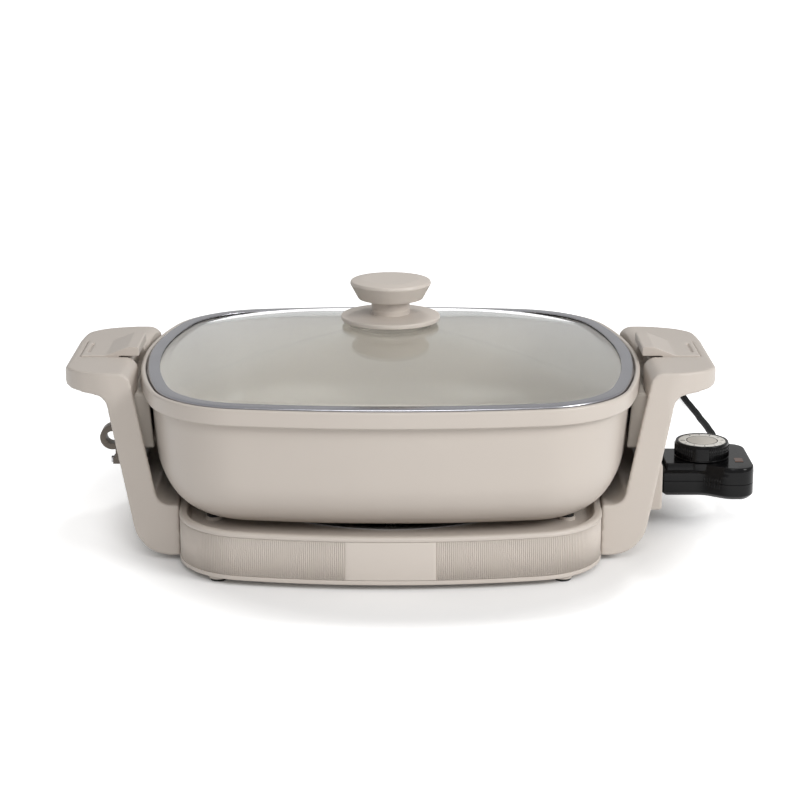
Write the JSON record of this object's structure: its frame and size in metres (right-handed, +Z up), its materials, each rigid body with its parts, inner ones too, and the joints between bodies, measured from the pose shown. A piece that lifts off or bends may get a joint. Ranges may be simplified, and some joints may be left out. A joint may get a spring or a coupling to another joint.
{
  "type": "electric skillet",
  "caption": "Electric skillet: a deep lift-out pan with a glass lid, in a heated base with handled arms and sliding latches, and a plug-in heat controller on a cord.",
  "frame": {"origin": "on the table, below the middle of the pan", "axes": "+X towards the plug-in controller, +Y to the back, +Z up"},
  "size_m": [0.4948, 0.5885, 0.1838],
  "materials": {
    "pan_coat": "satin coating over cast aluminium",
    "glass": "clear",
    "steel_strip": "brushed",
    "greige_plastic": "satin",
    "pale_plastic": "matt",
    "black_rubber": "matt",
    "gasket": "matt",
    "screw_steel": "plated",
    "shield_steel": "mill finish sheet",
    "element_sheath": "oxidised",
    "ceramic": "matt",
    "black_gloss": "gloss",
    "black_matt": "matt",
    "bronze_plastic": "satin",
    "brass": "plain",
    "amber": "clear amber",
    "dial_silver": "satin",
    "cord_jacket": "satin"
  },
  "bodies": {
    "base": {"base_shell": "greige_plastic", "front_band": "greige_plastic", "rear_band": "greige_plastic", "bottom_plate": "greige_plastic", "heat_shield": "shield_steel", "heating_element": "element_sheath", "element_clips": "screw_steel", "terminal_block": "ceramic", "terminal_pins": "screw_steel", "pan_pads": "black_rubber", "feet": "black_rubber", "base_screws": "screw_steel", "arm_screws": "screw_steel", "left_arm": "greige_plastic", "right_arm": "greige_plastic", "left_liner": "pale_plastic", "right_liner": "pale_plastic", "probe_shroud": "greige_plastic", "cord_clip": "bronze_plastic", "clip_screw": "screw_steel"},
    "pan": {"pan": "pan_coat"},
    "lid": {"lid_glass": "glass", "lid_rim": "steel_strip", "knob": "greige_plastic", "knob_base": "greige_plastic", "knob_gasket": "gasket", "knob_screw": "screw_steel"},
    "left_latch": {"left_latch": "greige_plastic", "left_latch_keeper": "black_matt", "left_latch_screw": "screw_steel"},
    "right_latch": {"right_latch": "greige_plastic", "right_latch_keeper": "black_matt", "right_latch_screw": "screw_steel"},
    "controller": {"controller_lower_case": "black_gloss", "controller_upper_case": "black_gloss", "probe_nose": "black_matt", "probe_rod": "screw_steel", "contact_sockets": "brass", "thermostat": "ceramic", "controller_screws": "screw_steel", "indicator_lens": "amber", "strain_relief": "cord_jacket", "power_cord": "cord_jacket", "cord_coil": "cord_jacket", "cord_tie": "black_matt", "plug_body": "black_matt", "plug_blades": "brass"},
    "dial": {"dial": "black_gloss", "dial_plate": "dial_silver", "dial_shaft": "screw_steel"}
  },
  "joints": [
    {"name": "pan_lift", "type": "slide", "parent": "base", "child": "pan", "axis": [0, 0, 1], "range_m": [0, 0.16]},
    {"name": "lid_lift", "type": "slide", "parent": "pan", "child": "lid", "axis": [0, 0, 1], "range_m": [0, 0.15]},
    {"name": "left_latch_slide", "type": "slide", "parent": "base", "child": "left_latch", "axis": [1, 0, 0], "range_m": [0, 0.0055]},
    {"name": "right_latch_slide", "type": "slide", "parent": "base", "child": "right_latch", "axis": [-1, 0, 0], "range_m": [0, 0.0055]},
    {"name": "controller_pull", "type": "slide", "parent": "base", "child": "controller", "axis": [1, 0, 0], "range_m": [0, 0.125]},
    {"name": "dial_turn", "type": "hinge", "parent": "controller", "child": "dial", "pos_m": [0.22827, 0, 0.0509], "axis": [0, 0, 1], "range_deg": [-280, 0]}
  ]
}
